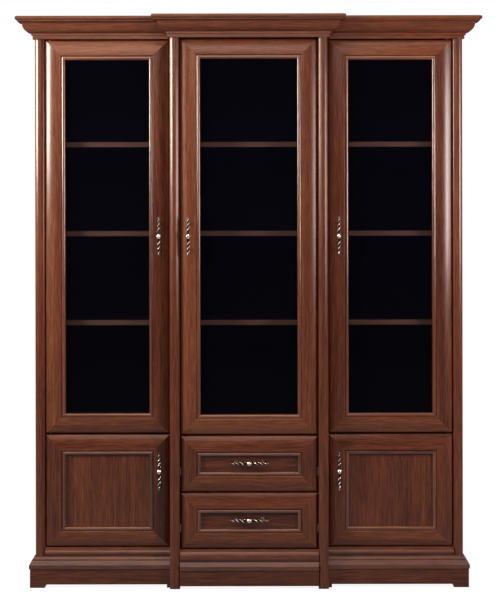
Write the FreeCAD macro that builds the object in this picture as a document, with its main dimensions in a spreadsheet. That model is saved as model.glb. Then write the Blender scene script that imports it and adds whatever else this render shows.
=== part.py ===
"""Breakfront bookcase: three glazed doors above two panel doors and two drawers.

Millimetres, +Z up, the front faces -Y, and the origin is on the floor under the middle of the
overall box. The middle bay breaks forward of the side bays, between two posts that stand on the floor.
"""
import FreeCAD
import Part
import Sketcher
import math
import os
from FreeCAD import Rotation, Vector

# Driving sizes in millimetres, one sheet row each
SIZES = {
    # Case
    "body_width": 1550,
    "overall_height": 2056,
    "side_depth": 385,
    "break_forward": 42,
    "centre_opening": 499,
    "post_width": 36,
    "post_depth": 27,
    "post_round": 9,
    "upright_thickness": 22,
    "back_thickness": 4,
    "top_thickness": 22,
    "middle_thickness": 18,
    "bottom_thickness": 22,
    "middle_level": 551,
    "floor_level": 140,
    # Shelves
    "shelf_thickness": 18,
    "lowest_shelf_level": 960,
    "shelf_spacing": 325,
    "shelf_setback": 12,
    "shelf_clearance": 1,
    "shelf_pin_radius": 2.5,
    "shelf_pin_length": 9,
    "shelf_pin_inset": 40,
    # Cornice
    "cornice_height": 76,
    "cornice_projection": 60,
    "cornice_return": 12,
    "strip_projection": 5.5,
    "strip_height": 13,
    "fillet_projection": 10,
    "fillet_height": 7,
    "swell_projection": 38,
    "swell_top": 50,
    "hollow_size": 7.5,
    "lip_fillet_projection": 53,
    "lip_height": 15,
    "lip_swell": 6,
    # Base
    "foot_height": 12,
    "foot_width": 54,
    "inner_foot_width": 12,
    "glide_height": 6,
    "glide_radius": 9,
    "plinth_thickness": 16.5,
    "plinth_top": 68,
    "base_moulding_height": 44,
    "base_lip_projection": 19.5,
    "base_lip_height": 14,
    "base_step_level": 28,
    "base_step_height": 4,
    "base_step_projection": 9.4,
    "base_slope_end": 11.5,
    "base_edge": 2,
    "nose_edge": 8,
    "nose_under": 4,
    "nose_fillet": 8,
    "nose_swell": 8,
    "nose_crown": 2.2,
    "nose_lead": 1,
    "apron_thickness": 22,
    "apron_bottom": 40,
    # Doors and drawer fronts
    "door_lead": 6,
    "centre_recess": 5,
    "door_thickness": 20,
    "door_side_gap": 3.4,
    "door_top_gap": 3.4,
    "door_middle_gap": 5.8,
    "door_bottom_gap": 3,
    "drawer_gap": 4.3,
    "frame_width": 72,
    "frame_edge_height": 5,
    "frame_edge_round": 5,
    "frame_edge_crown": 0.6,
    "frame_swell_width": 43,
    "frame_swell_rise": 10,
    "frame_flat_width": 7.5,
    "groove_wall": 2.8,
    "groove_width": 1.2,
    "groove_depth": 3.6,
    "bead_crown": 4.2,
    "sight_edge_height": 12.5,
    "rebate_width": 10,
    "rebate_depth": 8,
    "glass_thickness": 4,
    "glass_edge_gap": 2,
    "panel_edge_gap": 1,
    # Pivot hinges
    "pivot_inset": 15.2,
    "pivot_back": 3.5,
    "pivot_pin_radius": 2,
    "pivot_pin_length": 9,
    "running_clearance": 0.06,
    "bush_radius": 3,
    "bush_length": 11,
    "bush_fit": 0.02,
    "plate_thickness": 2.5,
    "plate_width": 24,
    "plate_front": 4,
    "plate_seat": 22,
    # Drawer boxes and runners
    "box_side_gap": 6,
    "box_back_gap": 51,
    "box_height": 140,
    "box_rise": 22,
    "box_board": 12,
    "box_bottom_thickness": 4,
    "box_bottom_rise": 10,
    "runner_thickness": 5,
    "runner_height": 28,
    "runner_rise": 50,
    "runner_play": 0.4,
    "channel_wall": 2,
    "channel_back_gap": 23,
    "channel_box_gap": 1.2,
    # Handles
    "handle_length": 140,
    "handle_standoff": 20,
    "handle_foot_spacing": 96,
    "handle_foot_radius": 3.5,
    "rosette_radius": 6.5,
    "rosette_height": 2.5,
    "handle_seat": 3.6,
    "ball_radius": 9,
    "ball_neck": 3.2,
    "tip_radius": 4,
    "tip_neck": 2.2,
    "leaf_swell": 3.4,
    "handle_edge_distance": 35.5,
    "centre_handle_edge_distance": 29,
    "glass_handle_level": 1267,
    "lower_handle_level": 420,
    "drawer_handle_rise": 5,
}

SHELVES_PER_BAY = 3
CUT_MARGIN = 2


class Size:
    """A length that carries both its value and the sheet expression it is bound to."""

    def __init__(self, value, text):
        self.value = value
        self.text = text

    def joined(self, other, sign, value):
        return Size(value, f"({self.text} {sign} {as_size(other).text})")

    def __add__(self, other):
        return self.joined(other, "+", self.value + as_size(other).value)

    def __sub__(self, other):
        return self.joined(other, "-", self.value - as_size(other).value)

    def __mul__(self, other):
        return self.joined(other, "*", self.value * as_size(other).value)

    def __truediv__(self, other):
        return self.joined(other, "/", self.value / as_size(other).value)

    def __neg__(self):
        return Size(-self.value, f"(-1 * {self.text})")

    def root(self):
        return Size(math.sqrt(self.value), f"sqrt({self.text})")


def as_size(number):
    return number if isinstance(number, Size) else Size(number, str(number))


ZERO = as_size(0)

doc = FreeCAD.newDocument("bookcase")
sheet = doc.addObject("Spreadsheet::Sheet", "Sizes")
for row, (alias, number) in enumerate(SIZES.items(), start=1):
    sheet.set(f"A{row}", alias)
    sheet.set(f"B{row}", str(number))
    sheet.setAlias(f"B{row}", alias)
doc.recompute()


class Bench:
    """The sheet's sizes as attributes, such as size.body_width."""


size = Bench()
for alias, number in SIZES.items():
    setattr(size, alias, Size(number, f"Sizes.{alias}"))

# Planes of the case, worked out from the driving sizes
BACK = (size.side_depth + size.break_forward + size.cornice_projection) / 2
SIDE_FRONT = BACK - size.side_depth
CENTRE_FRONT = SIDE_FRONT - size.break_forward
SIDE_FACE = SIDE_FRONT - size.door_lead
CENTRE_FACE = CENTRE_FRONT + size.centre_recess
CASE_FRONT = SIDE_FRONT + size.post_depth
CENTRE_CASE_FRONT = CENTRE_FACE + size.door_lead + size.post_depth
CENTRE_BASE_FRONT = CENTRE_FRONT + size.base_lip_projection
PANEL_SETBACK = size.door_lead + size.post_depth - size.door_thickness
PANEL_BACK = BACK - size.back_thickness
TOP_LEVEL = size.overall_height - size.cornice_height
OUTER = size.body_width / 2
OUTER_POST_IN = OUTER - size.post_width
PANEL_IN = OUTER - size.upright_thickness
INNER_POST_IN = size.centre_opening / 2
INNER_POST_OUT = INNER_POST_IN + size.post_width
DIVIDER_MIDDLE = INNER_POST_IN + size.post_width / 2
DIVIDER_IN = DIVIDER_MIDDLE - size.upright_thickness / 2
DIVIDER_OUT = DIVIDER_MIDDLE + size.upright_thickness / 2

SIDES = {"left": -1, "right": 1}
LEVEL = Rotation()
FACING_FRONT = Rotation(Vector(1, 0, 0), 90)
nodes = {}


def arc_radius(run, rise, crown):
    """Radius of an arc over a chord of that run and rise; its middle stands off the chord by the crown."""
    return ((run * run + rise * rise) / 4 + crown * crown) / (crown * 2)


def bind(item, prop, length):
    item.setExpression(prop, as_size(length).text)


def place(item, at, turn=LEVEL):
    item.Placement = FreeCAD.Placement(Vector(0, 0, 0), turn)
    for axis, length in zip("xyz", at):
        bind(item, f"Placement.Base.{axis}", length)
    return item


def to_side(sign, near, far):
    """A span of X on the left (-1) or right (+1), from its distances to the middle plane."""
    return (near, far) if sign > 0 else (-far, -near)


def box(name, x, y, z):
    """A board between low and high limits along each axis."""
    board = doc.addObject("Part::Box", name)
    for prop, (low, high) in zip(("Length", "Width", "Height"), (x, y, z)):
        bind(board, prop, as_size(high) - low)
    return place(board, (x[0], y[0], z[0]))


def rod(name, radius, length, at, turn=LEVEL):
    """A round bar that runs from its place along its own Z."""
    bar = doc.addObject("Part::Cylinder", name)
    bind(bar, "Radius", radius)
    bind(bar, "Height", length)
    return place(bar, at, turn)


def cut(name, base, tool):
    result = doc.addObject("Part::Cut", name)
    result.Base = base
    result.Tool = tool
    return result


def group(name, pieces):
    result = doc.addObject("Part::Compound", name)
    result.Links = pieces
    return result


def node(label, item):
    """Keep a finished sub-part under its own label."""
    item.Label = label
    nodes[label] = item
    return item


# Sketches and bodies

def arc_between(start, end, radius, turn):
    """The shorter arc from start to end; turn is +1 anticlockwise and -1 clockwise."""
    chord = end - start
    rise = math.sqrt(radius ** 2 - (chord.Length / 2) ** 2)
    left = Vector(-chord.y, chord.x, 0).normalize()
    centre = (start + end) / 2 + left * (rise * turn)
    first, last = (start, end) if turn > 0 else (end, start)
    angles = [math.atan2(point.y - centre.y, point.x - centre.x) for point in (first, last)]
    if angles[1] < angles[0]:
        angles[1] += 2 * math.pi
    return Part.ArcOfCircle(Part.Circle(centre, Vector(0, 0, 1), radius), *angles)


def constrain(sketch, length, kind, *where):
    """Add a dimension and bind it to the sheet."""
    number = sketch.addConstraint(Sketcher.Constraint(kind, *where, as_size(length).value))
    bind(sketch, f"Constraints[{number}]", length)


def draw(sketch, outline):
    """Draw a closed outline of (x, y) corners; (x, y, radius, turn) comes to its corner by an arc."""
    corners = [[as_size(length) for length in corner[:2]] for corner in outline]
    points = [Vector(x.value, y.value, 0) for x, y in corners]
    ends = []
    for index, corner in enumerate(outline):
        before, point = points[index - 1], points[index]
        if len(corner) == 2:
            ends.append((sketch.addGeometry(Part.LineSegment(before, point)), 1, 2))
            continue
        radius, turn = as_size(corner[2]), corner[3]
        arc = sketch.addGeometry(arc_between(before, point, radius.value, turn))
        ends.append((arc, 1, 2) if turn > 0 else (arc, 2, 1))
        constrain(sketch, radius, "Radius", arc)
    for index, (x, y) in enumerate(corners):
        curve, _, last = ends[index]
        following, first, _ = ends[(index + 1) % len(ends)]
        sketch.addConstraint(Sketcher.Constraint("Coincident", curve, last, following, first))
        constrain(sketch, x, "DistanceX", -1, 1, curve, last)
        constrain(sketch, y, "DistanceY", -1, 1, curve, last)


def draw_circle(sketch, x, y, radius):
    middle = Vector(as_size(x).value, as_size(y).value, 0)
    circle = sketch.addGeometry(Part.Circle(middle, Vector(0, 0, 1), radius.value))
    constrain(sketch, radius, "Radius", circle)
    constrain(sketch, x, "DistanceX", -1, 1, circle, 3)
    constrain(sketch, y, "DistanceY", -1, 1, circle, 3)


def sketch_on(body, role, name):
    sketch = body.newObject("Sketcher::SketchObject", name)
    plane = [feature for feature in body.Origin.OriginFeatures if feature.Role == role][0]
    sketch.AttachmentSupport = [(plane, "")]
    sketch.MapMode = "FlatFace"
    return sketch


def pad(body, name, sketch, length):
    feature = body.newObject("PartDesign::Pad", name)
    feature.Profile = sketch
    bind(feature, "Length", length)
    return feature


def mitre_outline(length, reach, kind, at_start):
    """The wedge that a 45 degree saw takes off one end: +1 for an outer corner, -1 for an inner one."""
    tip = reach + CUT_MARGIN
    if kind > 0:
        wedge = [(as_size(CUT_MARGIN), -CUT_MARGIN), (-tip, tip), (-tip, -CUT_MARGIN)]
    else:
        wedge = [(as_size(-CUT_MARGIN), -CUT_MARGIN), (tip, tip), (as_size(-CUT_MARGIN), tip)]
    if at_start:
        return wedge
    return [(length - x, y) for x, y in wedge]


def strip(name, profile, length, at, turn, reach=ZERO, mitres=(0, 0)):
    """A moulded strip: a profile of (reach, height) run along X, with mitred or square ends."""
    body = doc.addObject("PartDesign::Body", name)
    section = sketch_on(body, "YZ_Plane", f"{name}_profile")
    draw(section, profile)
    over = [reach if kind > 0 else ZERO for kind in mitres]
    bind(section, "AttachmentOffset.Base.z", -over[0])
    pad(body, f"{name}_run", section, length + over[0] + over[1])
    if any(mitres):
        saw_lines = sketch_on(body, "XY_Plane", f"{name}_mitres")
        for kind, at_start in zip(mitres, (True, False)):
            if kind:
                draw(saw_lines, mitre_outline(length, reach, kind, at_start))
        saw = body.newObject("PartDesign::Pocket", f"{name}_saw")
        saw.Profile = saw_lines
        saw.Type = "ThroughAll"
        saw.Midplane = True
    return place(body, at, turn)


# Uprights and posts

def post_profile(depth):
    """Plan of a post, from its back: square behind, rounded at both front corners."""
    wide, curve = size.post_width, size.post_round
    return [(0, 0), (wide, 0), (wide, depth - curve), (wide - curve, depth, curve, 1),
            (curve, depth), (0, depth - curve, curve, 1)]


def post(name, x, back, depth, bottom):
    """A full-height post whose front corners are rounded."""
    body = doc.addObject("PartDesign::Body", name)
    plan = sketch_on(body, "XY_Plane", f"{name}_plan")
    draw(plan, post_profile(depth))
    pad(body, f"{name}_height", plan, TOP_LEVEL - bottom)
    return place(body, (x + size.post_width, back, bottom), Rotation(Vector(0, 0, 1), 180))


def make_uprights():
    for side, sign in SIDES.items():
        upright_z = (size.foot_height, TOP_LEVEL)
        node(f"{side}_side_panel", box(f"{side}_side_panel", to_side(sign, PANEL_IN, OUTER),
                                       (CASE_FRONT, BACK), upright_z))
        node(f"{side}_divider", box(f"{side}_divider", to_side(sign, DIVIDER_IN, DIVIDER_OUT),
                                    (CASE_FRONT, PANEL_BACK), upright_z))
    outer = [post(f"{side}_outer_post", to_side(sign, OUTER_POST_IN, OUTER)[0], CASE_FRONT,
                  size.post_depth, size.foot_height) for side, sign in SIDES.items()]
    node("outer_posts", group("outer_posts", outer))
    inner = [post(f"{side}_inner_post", to_side(sign, INNER_POST_IN, INNER_POST_OUT)[0], CASE_FRONT,
                  size.post_depth + size.break_forward, size.glide_height)
             for side, sign in SIDES.items()]
    node("inner_posts", group("inner_posts", inner))


# Horizontal boards

def bay_span(bay):
    """Clear X span of a bay between its uprights."""
    if bay == "centre":
        return (-DIVIDER_IN, DIVIDER_IN)
    return to_side(SIDES[bay], DIVIDER_OUT, PANEL_IN)


BAYS = ("left", "centre", "right")
MIDDLE_BOTTOM = size.middle_level - size.middle_thickness / 2
MIDDLE_TOP = size.middle_level + size.middle_thickness / 2


def make_top_panel():
    """One board over the whole case, stepped forward over the middle bay."""
    body = doc.addObject("PartDesign::Body", "top_panel")
    plan = sketch_on(body, "XY_Plane", "top_panel_plan")
    draw(plan, [(OUTER, SIDE_FRONT), (OUTER, BACK), (-OUTER, BACK), (-OUTER, SIDE_FRONT),
                (-INNER_POST_OUT, SIDE_FRONT), (-INNER_POST_OUT, CENTRE_FRONT),
                (INNER_POST_OUT, CENTRE_FRONT), (INNER_POST_OUT, SIDE_FRONT)])
    pad(body, "top_panel_board", plan, size.top_thickness)
    node("top_panel", place(body, (ZERO, ZERO, TOP_LEVEL)))


def make_middle_panels(plates):
    """Boards at the height of the gap between upper and lower doors, with slots for the hinge plates."""
    thickness = (MIDDLE_BOTTOM, MIDDLE_TOP)
    boards = []
    for bay in ("left", "right"):
        board = box(f"{bay}_middle_board", bay_span(bay), (CASE_FRONT, PANEL_BACK), thickness)
        boards.append(cut(f"{bay}_middle_panel", board, plates[bay]))
    boards.append(box("centre_middle_panel", bay_span("centre"), (CASE_FRONT, PANEL_BACK), thickness))
    rail = box("centre_middle_board", (-INNER_POST_IN, INNER_POST_IN), (CENTRE_CASE_FRONT, CASE_FRONT),
               thickness)
    boards.append(cut("centre_middle_rail", rail, plates["centre"]))
    node("middle_panels", group("middle_panels", boards))


def make_bottom_panels():
    thickness = (size.floor_level - size.bottom_thickness, size.floor_level)
    boards = [box(f"{bay}_bottom_panel", bay_span(bay), (CASE_FRONT, PANEL_BACK), thickness) for bay in BAYS]
    boards.append(box("centre_bottom_filler", (-INNER_POST_IN, INNER_POST_IN),
                      (CENTRE_CASE_FRONT, CASE_FRONT), thickness))
    node("bottom_panels", group("bottom_panels", boards))


def make_back_panels():
    spans = {"left": (-PANEL_IN, -DIVIDER_MIDDLE), "centre": (-DIVIDER_MIDDLE, DIVIDER_MIDDLE),
             "right": (DIVIDER_MIDDLE, PANEL_IN)}
    low = size.floor_level - size.bottom_thickness
    boards = [box(f"{bay}_back_panel", span, (PANEL_BACK, BACK), (low, TOP_LEVEL))
              for bay, span in spans.items()]
    node("back_panels", group("back_panels", boards))


def make_shelves():
    """Three loose shelves in each bay, each on four pins."""
    pins = []
    along_x = Rotation(Vector(0, 1, 0), 90)
    front, back = CASE_FRONT + size.shelf_setback, PANEL_BACK - size.shelf_clearance
    for bay in BAYS:
        low, high = bay_span(bay)
        shelves = []
        for step in range(SHELVES_PER_BAY):
            top = size.lowest_shelf_level + size.shelf_spacing * step
            bottom = top - size.shelf_thickness
            span = (low + size.shelf_clearance, high - size.shelf_clearance)
            shelves.append(box(f"{bay}_shelf_{step}", span, (front, back), (bottom, top)))
            rows = {"front": front + size.shelf_pin_inset, "back": back - size.shelf_pin_inset}
            for end, x in (("low", low), ("high", high - size.shelf_pin_length)):
                for row, y in rows.items():
                    pins.append(rod(f"{bay}_pin_{step}_{end}_{row}", size.shelf_pin_radius,
                                    size.shelf_pin_length, (x, y, bottom - size.shelf_pin_radius), along_x))
        node(f"{bay}_bay_shelves", group(f"{bay}_bay_shelves", shelves))
    node("shelf_pins", group("shelf_pins", pins))


# Cornice and base

ALONG_FRONT = Rotation(Vector(0, 0, 1), 180)
SIDE_RETURN = {"left": Rotation(Vector(0, 0, 1), 90), "right": Rotation(Vector(0, 0, 1), -90)}


def cornice_profile():
    """Section of the crown: a plain strip, a fillet, a swell that ends upright, a small hollow, a narrow
    fillet and a rounded lip."""
    fillet_top = size.strip_height + size.fillet_height
    swell = size.swell_projection - size.fillet_projection
    rise = size.swell_top - fillet_top
    swell_radius = (swell * swell + rise * rise) / (swell * 2)
    hollow_end = size.swell_projection + size.hollow_size
    hollow_top = size.swell_top + size.hollow_size
    lip_bottom = size.cornice_height - size.lip_height
    lip_base = size.cornice_projection - size.lip_swell
    half_lip = size.lip_height / 2
    lip_radius = (half_lip * half_lip + size.lip_swell * size.lip_swell) / (size.lip_swell * 2)
    return [(0, 0), (size.strip_projection, 0), (size.strip_projection, size.strip_height),
            (size.fillet_projection, size.strip_height), (size.fillet_projection, fillet_top),
            (size.swell_projection, size.swell_top, swell_radius, 1),
            (hollow_end, hollow_top, size.hollow_size, -1), (size.lip_fillet_projection, hollow_top),
            (size.lip_fillet_projection, lip_bottom), (lip_base, lip_bottom),
            (lip_base, size.cornice_height, lip_radius, 1), (0, size.cornice_height)]


def make_cornice():
    """Seven mitred lengths of one moulding along the stepped front, with a short return at each end."""
    profile, reach = cornice_profile(), size.cornice_projection
    bay_front, end_run = OUTER - INNER_POST_OUT, size.cornice_return
    starts = {"left": -INNER_POST_OUT, "right": OUTER}
    for side, sign in SIDES.items():
        mitres = (-1, 1) if side == "left" else (1, -1)
        front = strip(f"{side}_cornice_front", profile, bay_front, (starts[side], SIDE_FRONT, TOP_LEVEL),
                      ALONG_FRONT, reach, mitres)
        corner = SIDE_FRONT if side == "left" else SIDE_FRONT + end_run
        mitres = (1, 0) if side == "left" else (0, 1)
        end = strip(f"{side}_cornice_end", profile, end_run, (OUTER * sign, corner, TOP_LEVEL),
                    SIDE_RETURN[side], reach, mitres)
        node(f"{side}_cornice", group(f"{side}_cornice", [front, end]))
    pieces = [strip("centre_cornice_front", profile, INNER_POST_OUT * 2,
                    (INNER_POST_OUT, CENTRE_FRONT, TOP_LEVEL), ALONG_FRONT, reach, (1, 1))]
    for side, sign in SIDES.items():
        corner = CENTRE_FRONT if side == "left" else SIDE_FRONT
        mitres = (1, -1) if side == "left" else (-1, 1)
        pieces.append(strip(f"centre_cornice_{side}", profile, size.break_forward,
                            (INNER_POST_OUT * sign, corner, TOP_LEVEL), SIDE_RETURN[side], reach, mitres))
    node("centre_cornice", group("centre_cornice", pieces))


def base_profile(with_hollow):
    """Section of the base moulding: a square lip, a slope and a small step, with or without a hollow."""
    lip, step_top = size.base_lip_projection, size.base_step_level + size.base_step_height
    cove_run, cove_rise = size.base_step_projection - size.base_edge, size.base_moulding_height - step_top
    cove_radius = (cove_run * cove_run + cove_rise * cove_rise) / (cove_run * 2)
    steps = [(0, 0), (lip, 0), (lip, size.base_lip_height), (size.base_slope_end, size.base_step_level),
             (size.base_step_projection, size.base_step_level), (size.base_step_projection, step_top)]
    if with_hollow:
        return steps + [(size.base_edge, size.base_moulding_height, cove_radius, -1),
                        (0, size.base_moulding_height)]
    return steps + [(0, step_top)]


def plinth_profile():
    wide, high = size.plinth_thickness, size.plinth_top - size.foot_height
    return [(0, 0), (wide, 0), (wide, high), (0, high)]


def run_around_base(name, profile, centre_profile, level, reach):
    """Lengths of one section along the foot of the case, and of another in the middle bay."""
    pieces = []
    bay_front = OUTER - INNER_POST_OUT
    for side, sign in SIDES.items():
        start = -INNER_POST_OUT if side == "left" else OUTER
        mitres = (0, 1) if side == "left" else (1, 0)
        pieces.append(strip(f"{side}_{name}_front", profile, bay_front, (start, SIDE_FRONT, level),
                            ALONG_FRONT, reach, mitres))
        corner = SIDE_FRONT if side == "left" else BACK
        mitres = (1, 0) if side == "left" else (0, 1)
        pieces.append(strip(f"{side}_{name}_end", profile, size.side_depth, (OUTER * sign, corner, level),
                            SIDE_RETURN[side], reach, mitres))
    pieces.append(strip(f"centre_{name}", centre_profile, INNER_POST_IN * 2,
                        (INNER_POST_IN, CENTRE_BASE_FRONT, level), ALONG_FRONT))
    return group(name, pieces)


def nose_profile(post_front, base_front, face, panel_front, nose_bottom):
    """Section of the rail under the doors: a small upright fillet, a swelling slope, a chamfer back under it
    that ends on the base moulding, and a flat apron behind the moulding."""
    deep, apron = post_front - panel_front, post_front - base_front
    front = post_front - face + size.nose_lead
    fillet = front - size.nose_swell
    top, belly = size.floor_level, nose_bottom + size.nose_edge
    panel_bottom = size.floor_level - size.bottom_thickness
    apron_back = apron - size.apron_thickness
    slope_radius = arc_radius(size.nose_swell, top - size.nose_fillet - belly, size.nose_crown)
    return [(deep, top), (deep, panel_bottom), (apron_back, panel_bottom), (apron_back, size.apron_bottom),
            (apron, size.apron_bottom), (apron, nose_bottom), (front - size.nose_under, nose_bottom),
            (front, belly), (fillet, top - size.nose_fillet, slope_radius, 1), (fillet, top)]


def make_base():
    node("base_mouldings", run_around_base("base_mouldings", base_profile(True), base_profile(False),
                                           size.plinth_top, size.base_lip_projection))
    node("plinth_boards", run_around_base("plinth_boards", plinth_profile(), plinth_profile(),
                                          size.foot_height, size.plinth_thickness))
    moulding_top = size.plinth_top + size.base_moulding_height
    step_top = size.plinth_top + size.base_step_level + size.base_step_height
    side_nose = nose_profile(SIDE_FRONT, SIDE_FRONT, SIDE_FACE, CASE_FRONT, moulding_top)
    centre_nose = nose_profile(CENTRE_FRONT, CENTRE_BASE_FRONT, CENTRE_FACE, CENTRE_CASE_FRONT, step_top)
    bay_width = OUTER_POST_IN - INNER_POST_OUT
    runs = {"left": (side_nose, bay_width, -INNER_POST_OUT, SIDE_FRONT),
            "centre": (centre_nose, INNER_POST_IN * 2, INNER_POST_IN, CENTRE_FRONT),
            "right": (side_nose, bay_width, OUTER_POST_IN, SIDE_FRONT)}
    rails = [strip(f"{bay}_bottom_rail", profile, length, (x, y, ZERO), ALONG_FRONT)
             for bay, (profile, length, x, y) in runs.items()]
    node("bottom_rails", group("bottom_rails", rails))
    make_feet()


def make_feet():
    """Wooden corner blocks, small blocks beside the middle posts, and dark glides under the rest."""
    feet, glides = [], []
    stand = (ZERO, size.foot_height)
    plinth_front = SIDE_FRONT - size.plinth_thickness
    plinth_out = OUTER + size.plinth_thickness
    for side, sign in SIDES.items():
        corner_x = to_side(sign, plinth_out - size.foot_width, plinth_out)
        front_y = (plinth_front, plinth_front + size.foot_width)
        feet.append(box(f"{side}_front_foot", corner_x, front_y, stand))
        feet.append(box(f"{side}_back_foot", corner_x, (BACK - size.foot_width, BACK), stand))
        inner_x = to_side(sign, INNER_POST_OUT, INNER_POST_OUT + size.inner_foot_width)
        feet.append(box(f"{side}_inner_foot", inner_x, (plinth_front, SIDE_FRONT), stand))
        glides.append(box(f"{side}_post_glide", to_side(sign, INNER_POST_IN, INNER_POST_OUT),
                          (CENTRE_FRONT + size.post_round, CASE_FRONT), (ZERO, size.glide_height)))
        glides.append(rod(f"{side}_divider_glide", size.glide_radius, size.foot_height,
                          (DIVIDER_MIDDLE * sign, PANEL_BACK - size.foot_width, ZERO)))
    node("feet", group("feet", feet))
    node("glides", group("glides", glides))


# Framed fronts shared by the doors and the drawers

class Front:
    """The outline of one door or drawer front."""

    def __init__(self, name, bay, bottom, top, hinge=None):
        self.name = name
        self.bottom = bottom
        self.top = top
        self.hinge = hinge
        gap = size.door_side_gap
        if bay == "centre":
            self.left, self.right = gap - INNER_POST_IN, INNER_POST_IN - gap
        else:
            self.left, self.right = to_side(SIDES[bay], INNER_POST_OUT + gap, OUTER_POST_IN - gap)
        self.face = CENTRE_FACE if bay == "centre" else SIDE_FACE
        self.back = self.face + size.door_thickness
        self.panel_face = self.back - size.rebate_depth

    def pivot(self):
        """The X and Y of the hinge axis: inside the hinge edge, close to the back of the frame."""
        x = self.left + size.pivot_inset if self.hinge == "left" else self.right - size.pivot_inset
        return x, self.back - size.pivot_back


def frame_profile():
    """Section of a frame member, from its outer edge inwards: a small round, a broad swell, a narrow flat, a
    groove with a sloping wall, a half-round bead down to the sight edge, and a rebate behind the bead."""
    thick = size.door_thickness
    swell_start = size.frame_edge_round
    swell_end = swell_start + size.frame_swell_width
    flat_end = swell_end + size.frame_flat_width
    groove_start = flat_end + size.groove_wall
    bead_start = groove_start + size.groove_width
    groove_floor = thick - size.groove_depth
    swell_level = thick - size.frame_swell_rise
    edge_radius = arc_radius(swell_start, swell_level - size.frame_edge_height, size.frame_edge_crown)
    swell_run, swell_rise = size.frame_swell_width, size.frame_swell_rise
    swell_radius = (swell_run * swell_run + swell_rise * swell_rise) / (swell_rise * 2)
    bead_run, bead_rise = size.frame_width - bead_start, groove_floor - size.sight_edge_height
    bead_radius = arc_radius(bead_run, bead_rise, size.bead_crown)
    rebate = size.frame_width - size.rebate_width
    return [(0, 0), (rebate, 0), (rebate, size.rebate_depth), (size.frame_width, size.rebate_depth),
            (size.frame_width, size.sight_edge_height), (bead_start, groove_floor, bead_radius, 1),
            (groove_start, groove_floor), (flat_end, thick), (swell_end, thick),
            (swell_start, swell_level, swell_radius, 1), (0, size.frame_edge_height, edge_radius, 1)]


def make_frame(front, holes=None, seats=None):
    """Two rails and two stiles, mitred at the corners; the hinge corners are bored for the bushes, and the
    other stile has round seats for the handle."""
    wide, high = front.right - front.left, front.top - front.bottom
    runs = [("bottom_rail", 0, (front.left, front.bottom), wide),
            ("left_stile", 90, (front.left, front.top), high),
            ("top_rail", 180, (front.right, front.top), wide),
            ("right_stile", 270, (front.right, front.bottom), high)]
    members = []
    for part, angle, (x, z), length in runs:
        turn = Rotation(Vector(0, 1, 0), angle).multiply(FACING_FRONT)
        member = strip(f"{front.name}_{part}", frame_profile(), length, (x, front.back, z), turn,
                       size.frame_width, (-1, -1))
        if holes and (part.endswith("rail") or part.startswith(front.hinge)):
            member = cut(f"{front.name}_{part}_bored", member, holes)
        elif seats:
            member = cut(f"{front.name}_{part}_seated", member, seats)
        members.append(member)
    node(f"{front.name}_frame", group(f"{front.name}_frame", members))


def sight_box(front, name, overlap, y):
    """A sheet behind the sight edge that laps under the frame by an overlap."""
    inset = size.frame_width - overlap
    return box(name, (front.left + inset, front.right - inset), y, (front.bottom + inset, front.top - inset))


def make_panel(front):
    overlap = size.rebate_width - size.panel_edge_gap
    panel = sight_box(front, f"{front.name}_panel", overlap, (front.panel_face, front.back))
    node(f"{front.name}_panel", panel)


def make_glazing(front):
    """The pane, and four beads that hold it in the rebate from behind."""
    pane_back = front.panel_face + size.glass_thickness
    pane = sight_box(front, f"{front.name}_glass", size.rebate_width - size.glass_edge_gap,
                     (front.panel_face, pane_back))
    node(f"{front.name}_glass", pane)
    y, outer, inner = (pane_back, front.back), size.frame_width - size.rebate_width, size.frame_width
    x_low, x_high = front.left + outer, front.right - outer
    z_low, z_high = front.bottom + outer, front.top - outer
    lap = inner - outer
    beads = [box(f"{front.name}_bead_left", (x_low, x_low + lap), y, (z_low, z_high)),
             box(f"{front.name}_bead_right", (x_high - lap, x_high), y, (z_low, z_high)),
             box(f"{front.name}_bead_bottom", (x_low + lap, x_high - lap), y, (z_low, z_low + lap)),
             box(f"{front.name}_bead_top", (x_low + lap, x_high - lap), y, (z_high - lap, z_high))]
    node(f"{front.name}_glazing_beads", group(f"{front.name}_glazing_beads", beads))


# Handles

def spindle_outline():
    """Half section of the bar: a ball in the middle, a leaf-shaped arm and a small round tip on each side."""
    half = size.handle_length / 2
    ball_x = (size.ball_radius * size.ball_radius - size.ball_neck * size.ball_neck).root()
    tip_half = (size.tip_radius * size.tip_radius - size.tip_neck * size.tip_neck).root()
    tip_x = half - size.tip_radius - tip_half
    leaf_radius = arc_radius(tip_x - ball_x, size.ball_neck - size.tip_neck, size.leaf_swell)
    return [(half, 0), (tip_x, size.tip_neck, size.tip_radius, 1),
            (ball_x, size.ball_neck, leaf_radius, 1), (-ball_x, size.ball_neck, size.ball_radius, 1),
            (-tip_x, size.tip_neck, leaf_radius, 1), (-half, 0, size.tip_radius, 1)]


def make_handle(name, at, upright, seat=ZERO):
    """A turned bar on two feet with rosettes, standing clear of the front it pulls; a seat lets the rosettes
    into the front."""
    body = doc.addObject("PartDesign::Body", name)
    section = sketch_on(body, "XZ_Plane", f"{name}_section")
    bind(section, "AttachmentOffset.Base.y", size.handle_standoff + seat)
    draw(section, spindle_outline())
    turning = body.newObject("PartDesign::Revolution", f"{name}_bar")
    turning.Profile = section
    turning.ReferenceAxis = (section, ["H_Axis"])
    turning.Angle = 360
    for part, radius, height in (("feet", size.handle_foot_radius, size.handle_standoff + seat),
                                 ("rosettes", size.rosette_radius, size.rosette_height + seat)):
        rounds = sketch_on(body, "XY_Plane", f"{name}_{part}_plan")
        for sign in (-1, 1):
            draw_circle(rounds, size.handle_foot_spacing / 2 * sign, ZERO, radius)
        pad(body, f"{name}_{part}", rounds, height)
    x, face, z = at
    turn = Rotation(Vector(0, 1, 0), -90).multiply(FACING_FRONT) if upright else FACING_FRONT
    node(name, place(body, (x, as_size(face) + seat, z), turn))


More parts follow.
